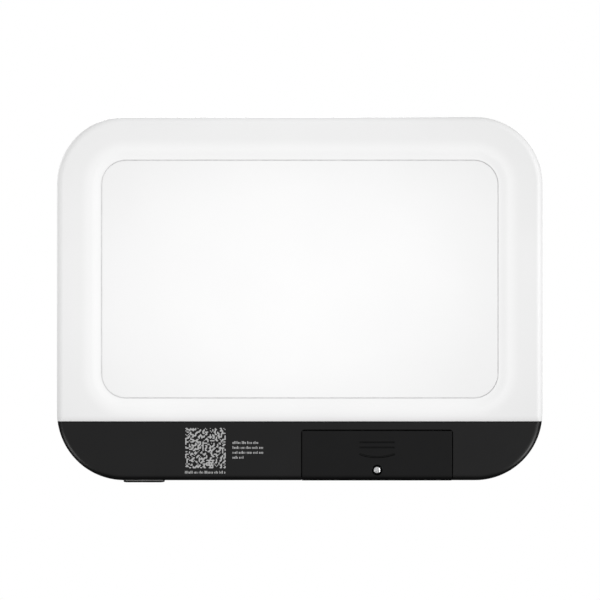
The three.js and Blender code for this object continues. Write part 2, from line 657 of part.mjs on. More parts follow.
piece('led_lead', WHITE_WIRE, ledLead());

export default table;
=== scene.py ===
"""A battery-powered LED light table, seen from underneath: the visible meshes, materials and studio.

Every piece is in metres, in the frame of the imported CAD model. The lit face looks up (+Z), the back lies on
z = 0, and the black strip called the chin runs along the -Y edge.
"""
import itertools
import math
import random

import bmesh
import bpy
from mathutils import Matrix, Vector

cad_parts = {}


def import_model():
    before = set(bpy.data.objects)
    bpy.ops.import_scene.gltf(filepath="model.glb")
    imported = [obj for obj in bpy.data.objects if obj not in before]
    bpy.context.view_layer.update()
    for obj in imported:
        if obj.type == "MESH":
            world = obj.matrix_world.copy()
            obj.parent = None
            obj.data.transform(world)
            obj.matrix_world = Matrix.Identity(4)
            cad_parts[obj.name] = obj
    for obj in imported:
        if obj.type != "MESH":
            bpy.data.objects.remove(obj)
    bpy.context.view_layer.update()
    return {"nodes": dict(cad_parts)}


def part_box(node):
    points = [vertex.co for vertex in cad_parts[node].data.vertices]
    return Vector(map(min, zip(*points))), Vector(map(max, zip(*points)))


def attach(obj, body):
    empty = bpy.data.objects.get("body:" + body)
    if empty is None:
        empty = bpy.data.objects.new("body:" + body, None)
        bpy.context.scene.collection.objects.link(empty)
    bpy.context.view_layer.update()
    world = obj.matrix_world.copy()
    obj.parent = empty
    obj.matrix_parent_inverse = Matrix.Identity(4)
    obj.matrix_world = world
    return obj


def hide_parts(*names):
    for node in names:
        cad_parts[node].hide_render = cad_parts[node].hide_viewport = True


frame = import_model()
SCENE = bpy.context.scene

# ---- Measures ----
MM = 0.001
HOUSING_LOW, HOUSING_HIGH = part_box("rear_housing")
PANEL_LOW, PANEL_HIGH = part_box("back_panel")
FACE_LOW, FACE_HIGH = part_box("diffuser_panel")
DOOR_LOW, DOOR_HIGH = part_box("battery_door")
SCREW_LOW, SCREW_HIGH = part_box("door_screw")
BUTTON_LOW, BUTTON_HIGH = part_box("power_button")

GAP = 0.3 * MM
HAIR = 0.001 * MM  # too little to see: keeps a cutter off the face it starts at, and merges doubled points
WALL = 2 * MM
CORNER = 45 * MM
BACK_FILLET = 5 * MM
FRONT_FILLET = 3 * MM
HALF_WIDTH = HOUSING_HIGH.x
TOP_Y = HOUSING_HIGH.y
SEAM_Y = HOUSING_LOW.y
EDGE_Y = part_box("chin_rear_cover")[0].y
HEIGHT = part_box("front_frame")[1].z
PARTING_Z = 11 * MM
SEAM_ROLL = (18 * MM, 3.6 * MM)  # radius and width of the gentle fall of the white casing to the seam
CHIN_ROLL = (0.6 * MM, 0.6 * MM)
PRINT_LEVEL = 0.05 * MM  # the chin's back is drawn in this much, so that its print stays inside the CAD box

PANEL_Y = (PANEL_LOW.y + PANEL_HIGH.y) / 2
PANEL_CORNER = 16 * MM
PANEL_LINE = 0.6 * MM
BEAD_DEPTH = (0.5 * MM, 0.8 * MM, 0.15 * MM)  # at the -X end, along the long edges, at the +X end
LIP_WIDTH = 6.5 * MM
LIP_DEPTH = PANEL_LOW.z
PANEL_FLOOR = PANEL_HIGH.z + GAP
WINDOW_CORNER = 36 * MM
WINDOW_HALF = (152 * MM, 93.5 * MM)
WINDOW_Y = (FACE_LOW.y + FACE_HIGH.y) / 2

BUTTON_FLANGE = 1.5 * MM
BUTTON_HALF = ((BUTTON_HIGH.x - BUTTON_LOW.x) / 2 - BUTTON_FLANGE, 3 * MM)  # without its flange
DOOR_X = (DOOR_LOW.x + DOOR_HIGH.x) / 2
TAB_REACH = 1.7 * MM  # how far the tabs reach past the door's edge
DOOR_TOP_Y = DOOR_HIGH.y - TAB_REACH
DOOR_GAP = 0.65 * MM
DOOR_CORNER = 1.6 * MM
DOOR_LIP_Z = DOOR_HIGH.z
DOOR_PROUD = 0.2 * MM
DOOR_PLATE = 1.8 * MM
LEDGE_Z = (2.1 * MM, 3.3 * MM)
LEDGE_WIDTH = 2.25 * MM
HOOK_WEB = 1.2 * MM
HOOK_REACH = 1.8 * MM
HOOK_Z = (1.5 * MM, 3.6 * MM, 4.4 * MM)  # foot of the web, lower and upper face of the hook
TAB_OFFSET = 28 * MM
TAB_HALF = 6 * MM
TAB_Z = (1.2 * MM, 2.1 * MM)
MARK_HALF = 11.7 * MM
SCREW_X = (SCREW_LOW.x + SCREW_HIGH.x) / 2
SCREW_Y = (SCREW_LOW.y + SCREW_HIGH.y) / 2
RECESS_RADIUS = 3.45 * MM
RECESS_DEPTH = 2.4 * MM
SHANK_RADIUS = 1.3 * MM
PRINT = (PRINT_LEVEL - 0.02 * MM, PRINT_LEVEL + 0.02 * MM)  # the ink stands a hair proud of the chin's back


# ---- Materials ----
class Look:
    """A node material with short ways to add the nodes that the looks below share."""

    def __init__(self, name, colour, roughness, **sockets):
        self.material = bpy.data.materials.new(name)
        self.material.use_nodes = True
        self.nodes = self.material.node_tree.nodes
        self.links = self.material.node_tree.links
        self.shader = self.nodes["Principled BSDF"]
        self.shader.inputs["Base Color"].default_value = (*colour, 1)
        self.shader.inputs["Roughness"].default_value = roughness
        for socket, value in sockets.items():
            self.shader.inputs[socket.replace("_", " ")].default_value = value
        self.place = self.nodes.new("ShaderNodeTexCoord").outputs["Object"]
        self.height = None

    def noise(self, scale, detail, stretch=(1, 1, 1)):
        mapping = self.nodes.new("ShaderNodeMapping")
        mapping.inputs["Scale"].default_value = stretch
        self.links.new(self.place, mapping.inputs["Vector"])
        texture = self.nodes.new("ShaderNodeTexNoise")
        texture.inputs["Scale"].default_value = scale
        texture.inputs["Detail"].default_value = detail
        self.links.new(mapping.outputs["Vector"], texture.inputs["Vector"])
        return texture.outputs["Fac"]

    def axes(self):
        """The place on the object as separate X, Y and Z sockets."""
        split = self.nodes.new("ShaderNodeSeparateXYZ")
        self.links.new(self.place, split.inputs["Vector"])
        return split.outputs

    def ramp(self, factor, *stops):
        """A colour ramp through stops of (position, grey or colour)."""
        ramp = self.nodes.new("ShaderNodeValToRGB")
        elements = ramp.color_ramp.elements
        while len(elements) < len(stops):
            elements.new(0.5)
        for element, (position, colour) in zip(elements, stops):
            element.position = position
            element.color = (*colour, 1) if isinstance(colour, tuple) else (colour, colour, colour, 1)
        self.links.new(factor, ramp.inputs["Fac"])
        return ramp.outputs["Color"]

    def multiply(self, first, second):
        node = self.nodes.new("ShaderNodeMix")
        node.data_type = "RGBA"
        node.blend_type = "MULTIPLY"
        factor, colour_a, colour_b = node.inputs[0], node.inputs[6], node.inputs[7]
        factor.default_value = 1.0
        self.links.new(first, colour_a)
        self.links.new(second, colour_b)
        return node.outputs[2]

    def colour(self, socket):
        self.links.new(socket, self.shader.inputs["Base Color"])

    def rough(self, factor, low, high):
        node = self.nodes.new("ShaderNodeMapRange")
        node.inputs["To Min"].default_value = low
        node.inputs["To Max"].default_value = high
        self.links.new(factor, node.inputs["Value"])
        self.links.new(node.outputs["Result"], self.shader.inputs["Roughness"])

    def bump(self, factor, distance, strength=1.0):
        node = self.nodes.new("ShaderNodeBump")
        node.inputs["Distance"].default_value = distance
        node.inputs["Strength"].default_value = strength
        self.links.new(factor, node.inputs["Height"])
        if self.height is not None:
            self.links.new(self.height, node.inputs["Normal"])
        self.height = node.outputs["Normal"]
        self.links.new(self.height, self.shader.inputs["Normal"])


def glow_map(look, centre, half):
    """0 in the middle of a rectangle on the XY plane, rising to 1 at its rim."""
    mapping = look.nodes.new("ShaderNodeMapping")
    mapping.vector_type = "TEXTURE"
    mapping.inputs["Location"].default_value = (*centre, 0)
    tall = 10  # so far up and down that the height on the object makes no difference
    mapping.inputs["Scale"].default_value = (*half, tall)
    look.links.new(look.place, mapping.inputs["Vector"])
    gradient = look.nodes.new("ShaderNodeTexGradient")
    gradient.gradient_type = "SPHERICAL"
    look.links.new(mapping.outputs["Vector"], gradient.inputs["Vector"])
    invert = look.nodes.new("ShaderNodeMath")
    invert.operation = "SUBTRACT"
    invert.inputs[0].default_value = 1
    look.links.new(gradient.outputs["Fac"], invert.inputs[1])
    return invert.outputs["Value"]


def rim_distance(look, low, high, corner):
    """The distance outside a rounded rectangle on the XY plane, negative inside it."""
    place = look.axes()
    past_corner_centre = look.nodes.new("ShaderNodeCombineXYZ")
    for axis, index in (("X", 0), ("Y", 1)):
        value = place[axis]
        middle, half = (low[index] + high[index]) / 2, (high[index] - low[index]) / 2
        steps = (("SUBTRACT", middle), ("ABSOLUTE", None), ("SUBTRACT", half - corner), ("MAXIMUM", 0))
        for operation, operand in steps:
            node = look.nodes.new("ShaderNodeMath")
            node.operation = operation
            look.links.new(value, node.inputs[0])
            if operand is not None:
                node.inputs[1].default_value = operand
            value = node.outputs["Value"]
        look.links.new(value, past_corner_centre.inputs[axis])
    length = look.nodes.new("ShaderNodeVectorMath")
    length.operation = "LENGTH"
    look.links.new(past_corner_centre.outputs["Vector"], length.inputs[0])
    outside = look.nodes.new("ShaderNodeMath")
    outside.operation = "SUBTRACT"
    look.links.new(length.outputs["Value"], outside.inputs[0])
    outside.inputs[1].default_value = corner
    return outside.outputs["Value"]


def spread(look, value, low, high):
    """The value scaled so that low becomes 0 and high becomes 1."""
    node = look.nodes.new("ShaderNodeMapRange")
    node.interpolation_type = "SMOOTHSTEP"
    node.inputs["From Min"].default_value = low
    node.inputs["From Max"].default_value = high
    look.links.new(value, node.inputs["Value"])
    return node.outputs["Result"]


def white_moulding():
    """White casing with painted light: a painted glow makes it palest on the slope round the panel, and
    painted shade makes it greyer at the rim and toward the seam.
    """
    look = Look("white_moulding", (0.86, 0.865, 0.862), 0.34, Specular_IOR_Level=0.45, IOR=1.5)
    tone = look.ramp(look.noise(14, 2), (0.3, 0.915), (0.7, 0.935))
    # painted shade: the casing darkens toward its rim, most at the corners
    rim = glow_map(look, centre=(0, PANEL_Y), half=(0.215, 0.16))
    tone = look.multiply(tone, look.ramp(rim, (0.7, 1.0), (0.92, 0.945)))
    # painted glow: the band is lit up within 7 mm of the panel, fading out by 15 mm
    lip_ends, band_begins = 7 * MM, 15 * MM
    from_panel = rim_distance(look, PANEL_LOW, PANEL_HIGH, PANEL_CORNER)
    band = spread(look, from_panel, lip_ends, band_begins)
    tone = look.multiply(tone, look.ramp(band, (0.0, 1.0), (1.0, 0.935)))
    # painted shade: darker within 4.5 mm of the seam with the black chin
    painted_seam_shade = spread(look, look.axes()["Y"], SEAM_Y + 0.5 * MM, SEAM_Y + 4.5 * MM)
    look.colour(look.multiply(tone, look.ramp(painted_seam_shade, (0.0, 0.92), (1.0, 1.0))))
    look.rough(look.noise(90, 4), 0.3, 0.4)
    look.bump(look.noise(1800, 2), 0.012 * MM)
    look.bump(look.noise(55, 2), 0.06 * MM, 0.5)
    return look.material


def panel_sheet():
    """A thin milky sheet with painted light: a painted glow, brightest in its middle, and painted shade
    toward its edges.
    """
    look = Look("panel_sheet", (0.87, 0.875, 0.872), 0.42, Specular_IOR_Level=0.3)
    rim = glow_map(look, centre=(0, PANEL_Y), half=(0.17, 0.12))
    milk = look.ramp(look.noise(12, 2), (0.3, 0.904), (0.7, 0.924))
    # painted shade: the sheet darkens toward its edges
    look.colour(look.multiply(milk, look.ramp(rim, (0.5, 1.0), (1.0, 0.94))))
    # painted glow: the sheet gives out light, most in its middle, though it is no lamp
    light = look.ramp(rim, (0.05, 0.95), (1.0, 0.1))
    look.links.new(light, look.shader.inputs["Emission Color"])
    look.shader.inputs["Emission Strength"].default_value = 0.078
    look.rough(look.noise(60, 3), 0.38, 0.47)
    look.bump(look.noise(2400, 2), 0.01 * MM)
    return look.material


def black_plastic(name, grey, low, high, specular):
    """Fine-grained black moulding, so dark that its sheen gives it its tone."""
    look = Look(name, (grey, grey, grey), 0.4, Specular_IOR_Level=specular)
    look.colour(look.ramp(look.noise(35, 4), (0.3, low), (0.75, high)))
    look.rough(look.noise(140, 4), 0.34, 0.44)
    look.bump(look.noise(2600, 3), 0.02 * MM, 0.8)
    return look.material


def matt_black(name, colour, low, high, roughness, **sockets):
    look = Look(name, colour, roughness, **sockets)
    look.colour(look.ramp(look.noise(60, 3), (0.3, low), (0.7, high)))
    look.rough(look.noise(200, 3), 0.55, 0.7)
    look.bump(look.noise(1200, 3), 0.02 * MM)
    return look.material


def lit_diffuser():
    """The opal face, lit from inside and a little dimmer and bluer toward its rim."""
    look = Look("lit_diffuser", (0.93, 0.94, 0.95), 0.3)
    rim = glow_map(look, centre=(0, WINDOW_Y), half=(0.2, 0.14))
    light = look.ramp(rim, (0.15, (1.0, 1.0, 1.0)), (0.95, (0.6, 0.64, 0.7)))
    look.links.new(light, look.shader.inputs["Emission Color"])
    look.shader.inputs["Emission Strength"].default_value = 0.18
    look.colour(look.ramp(look.noise(40, 2), (0.3, 0.805), (0.7, 0.815)))
    look.rough(look.noise(120, 3), 0.26, 0.36)
    look.bump(look.noise(3000, 2), 0.008 * MM)
    return look.material


def metal(name, colour, low, high, brush=(1, 1, 1)):
    look = Look(name, colour, low, Metallic=1.0)
    grain = look.noise(500, 5, brush)
    look.rough(grain, low, high)
    dark = tuple(0.86 * c for c in colour)
    look.colour(look.ramp(grain, (0.3, dark), (0.7, colour)))
    look.bump(grain, 0.006 * MM)
    return look.material


def plastic(name, colour, roughness, scale=300, depth=0.01 * MM, **sockets):
    look = Look(name, colour, roughness, **sockets)
    grain = look.noise(scale, 3)
    dark = tuple(0.88 * c for c in colour)
    look.colour(look.ramp(grain, (0.3, dark), (0.7, colour)))
    look.rough(grain, roughness - 0.06, roughness + 0.06)
    look.bump(grain, depth)
    return look.material


def print_ink():
    look = Look("print_ink", (0.38, 0.38, 0.38), 0.6)
    worn = look.noise(900, 4)
    look.colour(look.ramp(worn, (0.25, 0.32), (0.6, 0.43)))
    look.rough(worn, 0.5, 0.7)
    look.bump(worn, 0.004 * MM)
    return look.material


LOOKS = {
    "white": white_moulding(),
    "panel": panel_sheet(),
    "black": black_plastic("black_moulding", 0.002, (0.0016, 0.0016, 0.0018), (0.0026, 0.0026, 0.0029), 0.3),
    "door": black_plastic("black_door", 0.0018, (0.0014, 0.0014, 0.0016), (0.0022, 0.0022, 0.0025), 0.22),
    "inner": matt_black("black_inner", (0.03, 0.03, 0.031), (0.026, 0.026, 0.027), (0.036, 0.036, 0.037),
                        roughness=0.62),
    # painted shade: a sheenless near-black for the bottoms of the gaps and wells in the chin, where hardly
    # any light gets in
    "well": matt_black("painted_shade_black", (0.003, 0.003, 0.003), 0.002, 0.004,
                       roughness=0.6, Specular_IOR_Level=0.03),
    "diffuser": lit_diffuser(),
    "acrylic": plastic("acrylic_plate", (0.85, 0.93, 0.95), 0.12, Transmission_Weight=0.6),
    "film": plastic("white_film", (0.9, 0.9, 0.9), 0.55),
    "glue": plastic("pale_glue", (0.8, 0.8, 0.8), 0.5),
    "phosphor": plastic("led_phosphor", (0.9, 0.75, 0.3), 0.4),
    "steel": metal("screw_steel", (0.78, 0.785, 0.79), 0.2, 0.34),
    "spring": metal("nickel_spring", (0.7, 0.71, 0.72), 0.2, 0.36, (1, 8, 1)),
    "board": plastic("solder_mask", (0.03, 0.19, 0.07), 0.35, 120),
    "chip": plastic("chip_package", (0.02, 0.02, 0.022), 0.5),
    "nylon": plastic("white_nylon", (0.82, 0.82, 0.79), 0.45),
    "coil": plastic("ferrite_coil", (0.2, 0.12, 0.07), 0.5, 700, 0.05 * MM),
    "can": metal("aluminium_can", (0.72, 0.73, 0.74), 0.25, 0.4),
    "red": plastic("red_insulation", (0.5, 0.03, 0.02), 0.45),
    "dark": plastic("black_insulation", (0.02, 0.02, 0.02), 0.5),
    "pale": plastic("white_insulation", (0.7, 0.7, 0.7), 0.5),
    # painted highlight: the pale ring that draws the light line round the button
    "pale_highlight": plastic("highlight_line_paint", (0.8, 0.8, 0.79), 0.6),
    "ink": print_ink(),
}


# ---- Mesh work ----
def smooth(mesh):
    sharp_from = math.radians(32)
    mesh.polygons.foreach_set("use_smooth", [True] * len(mesh.polygons))
    mesh.set_sharp_from_angle(angle=sharp_from)


def finish_piece(bm, name, body, look, nodes=(), weighted=True):
    bmesh.ops.recalc_face_normals(bm, faces=bm.faces)
    mesh = bpy.data.meshes.new(name)
    bm.to_mesh(mesh)
    bm.free()
    mesh.materials.append(LOOKS[look])
    smooth(mesh)
    piece = bpy.data.objects.new(name, mesh)
    SCENE.collection.objects.link(piece)
    if weighted:
        normals = piece.modifiers.new("face_weighted", "WEIGHTED_NORMAL")
        normals.keep_sharp = True
    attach(piece, body)
    if nodes:
        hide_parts(*nodes)
    return piece


def join_rings(bm, rings, cap_first, cap_last):
    for lower, upper in zip(rings, rings[1:]):
        for i in range(len(lower)):
            j = (i + 1) % len(lower)
            bm.faces.new((lower[i], lower[j], upper[j], upper[i]))
    if cap_first:
        bm.faces.new(rings[0])
    if cap_last:
        bm.faces.new(rings[-1])


def loft(bm, layers, cap_first=False, cap_last=False):
    """Joins outlines with equal point counts, each given as (points, z); returns the rings of vertices."""
    rings = [[bm.verts.new((x, y, z)) for x, y in points] for points, z in layers]
    join_rings(bm, rings, cap_first, cap_last)
    return rings


def fill_between(bm, outer, inner):
    """Fills the flat ring between two closed loops of vertices."""
    edges = []
    for ring in (outer, inner):
        for i, vertex in enumerate(ring):
            other = ring[(i + 1) % len(ring)]
            edges.append(bm.edges.get((vertex, other)) or bm.edges.new((vertex, other)))
    bmesh.ops.triangle_fill(bm, edges=edges, use_beauty=True, use_dissolve=False)


def arc(cx, cy, radius, start, end, steps):
    points = []
    for i in range(steps + 1):
        angle = math.radians(start + (end - start) * i / steps)
        points.append((cx + radius * math.cos(angle), cy + radius * math.sin(angle)))
    return points


def rounded_rectangle(half, radius, centre):
    steps = 20
    x, y = half[0] - radius, half[1] - radius
    points = []
    for sx, sy, start in ((1, 1, 0), (-1, 1, 90), (-1, -1, 180), (1, -1, 270)):
        points += arc(centre[0] + sx * x, centre[1] + sy * y, radius, start, start + 90, steps)
    return points


def white_outline(inset, seam_inset):
    """The casing's plan above the seam, drawn in all round and, by its own amount, at the seam."""
    radius = CORNER - inset
    cx = HALF_WIDTH - CORNER
    low = EDGE_Y + CORNER
    cut = math.degrees(math.asin((SEAM_Y + seam_inset - low) / radius))
    points = arc(cx, low, radius, cut, 0, 4)
    points += arc(cx, TOP_Y - CORNER, radius, 0, 90, 28)
    points += arc(-cx, TOP_Y - CORNER, radius, 90, 180, 28)
    return points + arc(-cx, low, radius, 180, 180 - cut, 4)


def chin_outline(inset, seam_inset):
    """The casing's plan below the seam, drawn in all round and, by its own amount, at the seam."""
    radius = CORNER - inset
    cx = HALF_WIDTH - CORNER
    low = EDGE_Y + CORNER
    cut = math.degrees(math.asin((SEAM_Y - GAP - seam_inset - low) / radius))
    points = arc(-cx, low, radius, 180 - cut, 270, 28)
    return points + arc(cx, low, radius, 270, 360 + cut, 28)


def rolled(height, radius, width):
    """How far an edge rounded over a width is drawn in at a height above its flat face."""
    if height >= radius:
        return 0.0
    return max(0.0, width - math.sqrt(radius**2 - (radius - height) ** 2))


def shell_layers(outline, fillet, roll, face_z, rim_z, inner_z):
    """A shell's outside from its flat face to its rim, and its inside back to a flat floor."""
    up = 1 if rim_z > face_z else -1
    rim_bevel = 0.2 * MM
    layers = []
    steps = 10
    for i in range(steps + 1):
        angle = math.radians(90 * i / steps)
        height = fillet * (1 - math.cos(angle))
        layers.append((outline(fillet * (1 - math.sin(angle)), rolled(height, *roll)), face_z + up * height))
    layers.append((outline(0, 0), rim_z - up * rim_bevel))
    layers.append((outline(rim_bevel, 0), rim_z))
    layers.append((outline(WALL, WALL), rim_z))
    layers.append((outline(WALL, WALL), inner_z))
    return layers


def carve(piece, *cutters):
    """Takes the cutters' volume away from the piece; the cutters are used up."""
    combine(piece, "DIFFERENCE", cutters)


def combine(piece, operation, others):
    for other in others:
        modifier = piece.modifiers.new(operation.lower(), "BOOLEAN")
        modifier.operation = operation
        modifier.solver = "EXACT"
        modifier.object = other
    kept = [m for m in piece.modifiers if m.type == "WEIGHTED_NORMAL"]
    for modifier in kept:
        modifier.show_viewport = False
    graph = bpy.context.evaluated_depsgraph_get()
    mesh = bpy.data.meshes.new_from_object(piece.evaluated_get(graph))
    for modifier in list(piece.modifiers):
        if modifier.type == "BOOLEAN":
            piece.modifiers.remove(modifier)
    for modifier in kept:
        modifier.show_viewport = True
    piece.data = mesh
    smooth(mesh)
    for other in others:
        bpy.data.objects.remove(other)


def tool(bm):
    """A mesh for combine or carve to use up."""
    bmesh.ops.recalc_face_normals(bm, faces=bm.faces)
    mesh = bpy.data.meshes.new("tool")
    bm.to_mesh(mesh)
    bm.free()
    body = bpy.data.objects.new("tool", mesh)
    SCENE.collection.objects.link(body)
    return body


def prism(points, z0, z1, bm=None):
    bm = bm or bmesh.new()
    loft(bm, [(points, z0), (points, z1)], True, True)
    return bm


def slab_points(x0, x1, y0, y1):
    return [(x0, y0), (x1, y0), (x1, y1), (x0, y1)]


def lathe(bm, profile, origin, axis, steps=48):
    """Turns a profile of (radius, distance along the axis); a radius of 0 is a point on the axis."""
    turn = Vector((0, 0, 1)).rotation_difference(Vector(axis)).to_matrix()
    rings = []
    for radius, along in profile:
        if radius == 0:
            rings.append([bm.verts.new(Vector(origin) + turn @ Vector((0, 0, along)))])
            continue
        ring = []
        for i in range(steps):
            angle = math.tau * i / steps
            local = Vector((radius * math.cos(angle), radius * math.sin(angle), along))
            ring.append(bm.verts.new(Vector(origin) + turn @ local))
        rings.append(ring)
    for lower, upper in zip(rings, rings[1:]):
        for i in range(steps):
            j = (i + 1) % steps
            corners = [lower[i % len(lower)], lower[j % len(lower)]]
            corners += [upper[j % len(upper)], upper[i % len(upper)]]
            bm.faces.new(list(dict.fromkeys(corners)))
    return bm


# ---- White casing ----
def panel_outline(grow):
    half = ((PANEL_HIGH.x - PANEL_LOW.x) / 2 + grow, (PANEL_HIGH.y - PANEL_LOW.y) / 2 + grow)
    return rounded_rectangle(half, PANEL_CORNER + grow, (0, PANEL_Y))


def rear_housing():
    """The white back: a flat band whose inner edge falls in an ogee to the inset panel."""
    bm = bmesh.new()
    outside = shell_layers(white_outline, BACK_FILLET, SEAM_ROLL, 0, PARTING_Z - GAP / 2, PANEL_FLOOR + WALL)
    outer = loft(bm, outside, cap_last=True)
    lip = []
    steps = 12
    for i in range(steps + 1):
        grow = PANEL_LINE + LIP_WIDTH * (1 - i / steps)
        lip.append((panel_outline(grow), LIP_DEPTH * (1 - math.cos(math.pi * i / steps)) / 2))
    lip.append((panel_outline(PANEL_LINE), PANEL_FLOOR))
    inner = loft(bm, lip, cap_last=True)
    fill_between(bm, outer[0], inner[0])
    finish_piece(bm, "white_rear_housing", "casing", "white", ["rear_housing"])


def back_panel():
    bm = bmesh.new()
    soft = 0.45 * MM
    layers = [
        (panel_outline(-soft), PANEL_LOW.z),
        (panel_outline(-soft * 0.3), PANEL_LOW.z + soft * 0.3),
        (panel_outline(0), PANEL_LOW.z + soft),
        (panel_outline(0), PANEL_HIGH.z),
    ]
    loft(bm, layers, True, True)
    finish_piece(bm, "inset_back_panel", "casing", "panel", ["back_panel"])


def panel_bead():
    """The bead of glue at the bottom of the line round the panel; it lies deepest along the long edges."""
    bm = bmesh.new()
    end_depth_right, side_depth, end_depth_left = BEAD_DEPTH
    top = PANEL_LOW.z + side_depth
    clear = 0.02 * MM
    outside = panel_outline(PANEL_LINE - clear)
    inside = panel_outline(clear)
    outer = loft(bm, [(outside, top), (outside, PANEL_HIGH.z)])
    inner = loft(bm, [(inside, top), (inside, PANEL_HIGH.z)])
    for level in (0, 1):
        for i in range(len(outside)):
            j = (i + 1) % len(outside)
            bm.faces.new((outer[level][i], outer[level][j], inner[level][j], inner[level][i]))
    straight = PANEL_HIGH.x - PANEL_CORNER
    for vertex in outer[0] + inner[0]:
        at_end = min(1, max(0, abs(vertex.co.x) - straight) / PANEL_CORNER) ** 3
        end_depth = end_depth_right if vertex.co.x < 0 else end_depth_left
        vertex.co.z = PANEL_LOW.z + side_depth + (end_depth - side_depth) * at_end
    finish_piece(bm, "panel_glue_bead", "casing", "glue")


def window_outline(grow):
    half = (WINDOW_HALF[0] + grow, WINDOW_HALF[1] + grow)
    return rounded_rectangle(half, WINDOW_CORNER + grow, (0, WINDOW_Y))


def front_frame():
    """The white bezel round the lit face."""
    bm = bmesh.new()
    under = HEIGHT - WALL
    outer = loft(bm, shell_layers(white_outline, FRONT_FILLET, CHIN_ROLL, HEIGHT, PARTING_Z + GAP / 2, under))
    steps = 4
    edge = []
    radius = 0.5 * MM
    for i in range(steps + 1):
        angle = math.radians(90 * i / steps)
        edge.append((window_outline(radius * (1 - math.sin(angle))), HEIGHT - radius * (1 - math.cos(angle))))
    edge.append((window_outline(0), under))
    inner = loft(bm, edge)
    fill_between(bm, outer[0], inner[0])
    fill_between(bm, outer[-1], inner[-1])
    finish_piece(bm, "white_front_frame", "casing", "white", ["front_frame"])


def diffuser():
    """The opal lit face, set a hair below the bezel."""
    bm = bmesh.new()
    soft = 0.3 * MM
    step_z = FACE_LOW.z + 1 * MM
    flange = 2.7 * MM
    layers = [
        (window_outline(flange), FACE_LOW.z),
        (window_outline(flange), step_z),
        (window_outline(-GAP), step_z),
        (window_outline(-GAP), FACE_HIGH.z - soft),
        (window_outline(-GAP - soft * 0.3), FACE_HIGH.z - soft * 0.3),
        (window_outline(-GAP - soft), FACE_HIGH.z),
    ]
    loft(bm, layers, True, True)
    finish_piece(bm, "opal_diffuser", "casing", "diffuser", ["diffuser_panel"])


# ---- Chin ----
def pill_points(half_width, half_height, x, z):
    steps = 14
    right = arc(x + half_width - half_height, z, half_height, -90, 90, steps)
    return right + arc(x - half_width + half_height, z, half_height, 90, 270, steps)


def pill_rings(bm, rings, cap_first=True, cap_last=True):
    """Lofts pill shapes along Y, each given as (half width, half height, y)."""
    x = (BUTTON_LOW.x + BUTTON_HIGH.x) / 2
    z = (BUTTON_LOW.z + BUTTON_HIGH.z) / 2
    loops = loft(bm, [(pill_points(w, h, x, z), y) for w, h, y in rings], cap_first, cap_last)
    for loop in loops:
        for vertex in loop:
            vertex.co = Vector((vertex.co.x, vertex.co.z, vertex.co.y))
    return bm


def button_hole():
    w, h = BUTTON_HALF[0] + GAP, BUTTON_HALF[1] + GAP
    soft = 0.25 * MM
    rings = [
        (w + soft + MM, h + soft + MM, EDGE_Y - MM),
        (w + soft, h + soft, EDGE_Y - HAIR),
        (w, h, EDGE_Y + soft),
        (w, h, EDGE_Y + WALL + 4 * MM),
    ]
    return tool(pill_rings(bmesh.new(), rings))


def door_face_outline(grow):
    x0, x1 = DOOR_LOW.x - grow, DOOR_HIGH.x + grow
    top = DOOR_TOP_Y + grow
    low = EDGE_Y - 2 * MM
    r = DOOR_CORNER + grow
    points = [(x0, low), (x1, low)]
    points += arc(x1 - r, top - r, r, 0, 90, 6)
    return points + arc(x0 + r, top - r, r, 90, 180, 6)


def door_cutters():
    """The opening for the door's face, whose edges flare a little, and the one for its turned-up lip."""
    soft = 0.12 * MM
    flare = [
        (door_face_outline(DOOR_GAP + soft + MM), -MM),
        (door_face_outline(DOOR_GAP + soft), PRINT_LEVEL - HAIR),
        (door_face_outline(DOOR_GAP), PRINT_LEVEL + soft),
        (door_face_outline(DOOR_GAP), BACK_FILLET + 0.1 * MM),
    ]
    face = bmesh.new()
    loft(face, flare, True, True)
    x0, x1 = DOOR_LOW.x - GAP, DOOR_HIGH.x + GAP
    lip = prism(slab_points(x0, x1, EDGE_Y - MM, EDGE_Y + WALL + 0.1 * MM), -MM, DOOR_LIP_Z + GAP)
    return [tool(face), tool(lip)]


def rail(name, x0, x1):
    """One of the two ledges that the door's hooks run on."""
    bm = prism(slab_points(x0, x1, EDGE_Y + WALL + 0.4 * MM, DOOR_TOP_Y + 1.5 * MM), *LEDGE_Z)
    # painted shade: the rails get the sheenless near-black, as they lie in the dark behind the opening
    finish_piece(bm, name, "casing", "well", weighted=False)


def chin_rear_cover():
    bm = bmesh.new()
    layers = shell_layers(chin_outline, BACK_FILLET, CHIN_ROLL, PRINT_LEVEL, PARTING_Z - GAP / 2, WALL)
    loft(bm, layers, True, True)
    cover = finish_piece(bm, "chin_rear_shell", "casing", "black", ["chin_rear_cover"])
    carve(cover, button_hole(), *door_cutters())
    hidden = 2 * MM  # how far a rail reaches past the opening, behind the chin's wall
    rail("door_rail_left", DOOR_LOW.x - hidden, DOOR_LOW.x + LEDGE_WIDTH)
    rail("door_rail_right", DOOR_HIGH.x - LEDGE_WIDTH, DOOR_HIGH.x + hidden)


def chin_front_cover():
    bm = bmesh.new()
    layers = shell_layers(chin_outline, FRONT_FILLET, CHIN_ROLL, HEIGHT, PARTING_Z + GAP / 2, HEIGHT - WALL)
    loft(bm, layers, True, True)
    cover = finish_piece(bm, "chin_front_shell", "casing", "black", ["chin_front_cover"])
    carve(cover, button_hole())


